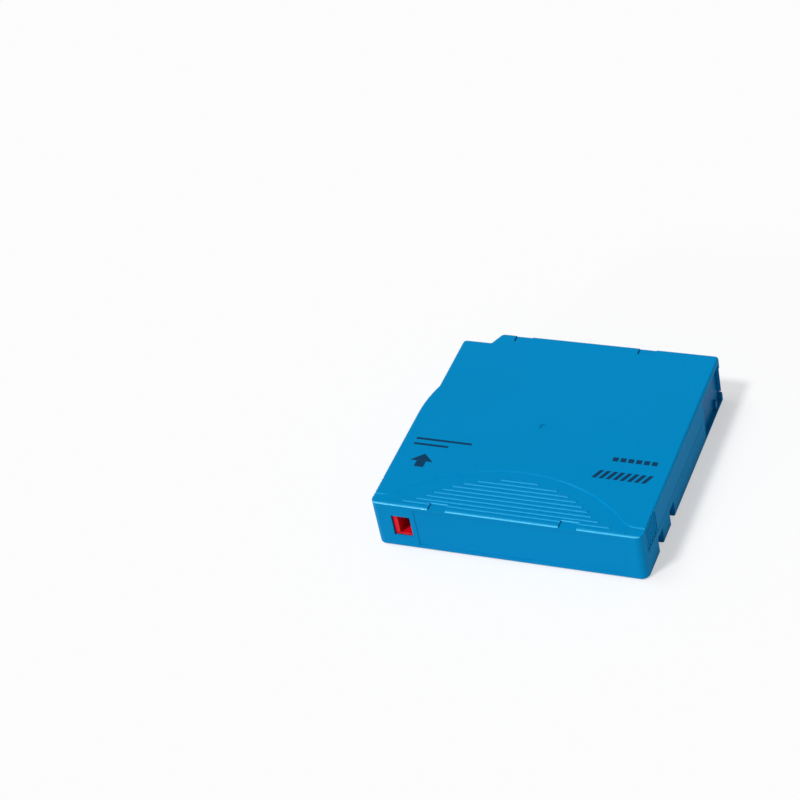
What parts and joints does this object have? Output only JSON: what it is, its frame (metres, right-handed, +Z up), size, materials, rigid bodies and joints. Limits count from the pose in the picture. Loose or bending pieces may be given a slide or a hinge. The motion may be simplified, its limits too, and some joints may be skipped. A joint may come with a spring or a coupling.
{
  "type": "data tape cartridge",
  "caption": "Flat square data tape cartridge in a blue two-part case, with a single reel, a sprung side door, a leader pin, a reel brake and a red write-protect slider.",
  "frame": {"origin": "on the reel's axis, in the plane that the cartridge rests on", "axes": "+X to the right and +Y away for someone who looks at the label side, +Z up; the label side faces -Y and the door is on the +X side"},
  "size_m": [0.1054, 0.102, 0.0215],
  "materials": {
    "case_blue": "satin, finely grained",
    "door_blue": "satin",
    "slider_red": "satin",
    "reel_natural": "satin",
    "flange_white": "satin",
    "brake_white": "satin",
    "steel": "turned and plated",
    "spring_steel": "drawn wire and strip",
    "tape_dark": "wound film",
    "clip_black": "satin",
    "board_green": "lacquered"
  },
  "bodies": {
    "case": {"top_shell": "case_blue", "bottom_shell": "case_blue", "case_screws": "steel", "tape_leader": "tape_dark", "leader_pin": "steel", "leader_pin_clip": "clip_black", "leader_pin_spring": "spring_steel", "brake_spring": "spring_steel", "door_spring": "spring_steel", "memory_board": "board_green", "memory_chip": "clip_black"},
    "reel": {"reel_hub": "reel_natural", "reel_upper_flange": "flange_white", "reel_drive_plate": "steel", "tape_pack": "tape_dark"},
    "brake": {"brake_button": "brake_white"},
    "release_pad": {"brake_release_pad": "brake_white"},
    "door": {"door": "door_blue"},
    "slider": {"write_protect_slider": "slider_red"}
  },
  "joints": [
    {"name": "reel_spin", "type": "hinge", "parent": "case", "child": "reel", "pos_m": [0, 0, 0], "axis": [0, 0, 1], "continuous": true},
    {"name": "door_slide", "type": "slide", "parent": "case", "child": "door", "axis": [0, -1, 0], "range_m": [0, 0.0155], "stiffness_N_per_m": 20, "springref_m": -0.01, "deforming": ["door_spring"]},
    {"name": "brake_lift", "type": "slide", "parent": "case", "child": "brake", "axis": [0, 0, 1], "range_m": [0, 0.002], "stiffness_N_per_m": 800, "springref_m": -0.003, "deforming": ["brake_spring"]},
    {"name": "pad_lift", "type": "slide", "parent": "reel", "child": "release_pad", "axis": [0, 0, 1], "range_m": [0, 0.002]},
    {"name": "write_protect_slide", "type": "slide", "parent": "case", "child": "slider", "axis": [-1, 0, 0], "range_m": [0, 0.0052]}
  ],
  "couplings": [
    {"joint": "pad_lift", "follows": "brake_lift", "ratio": 1}
  ]
}
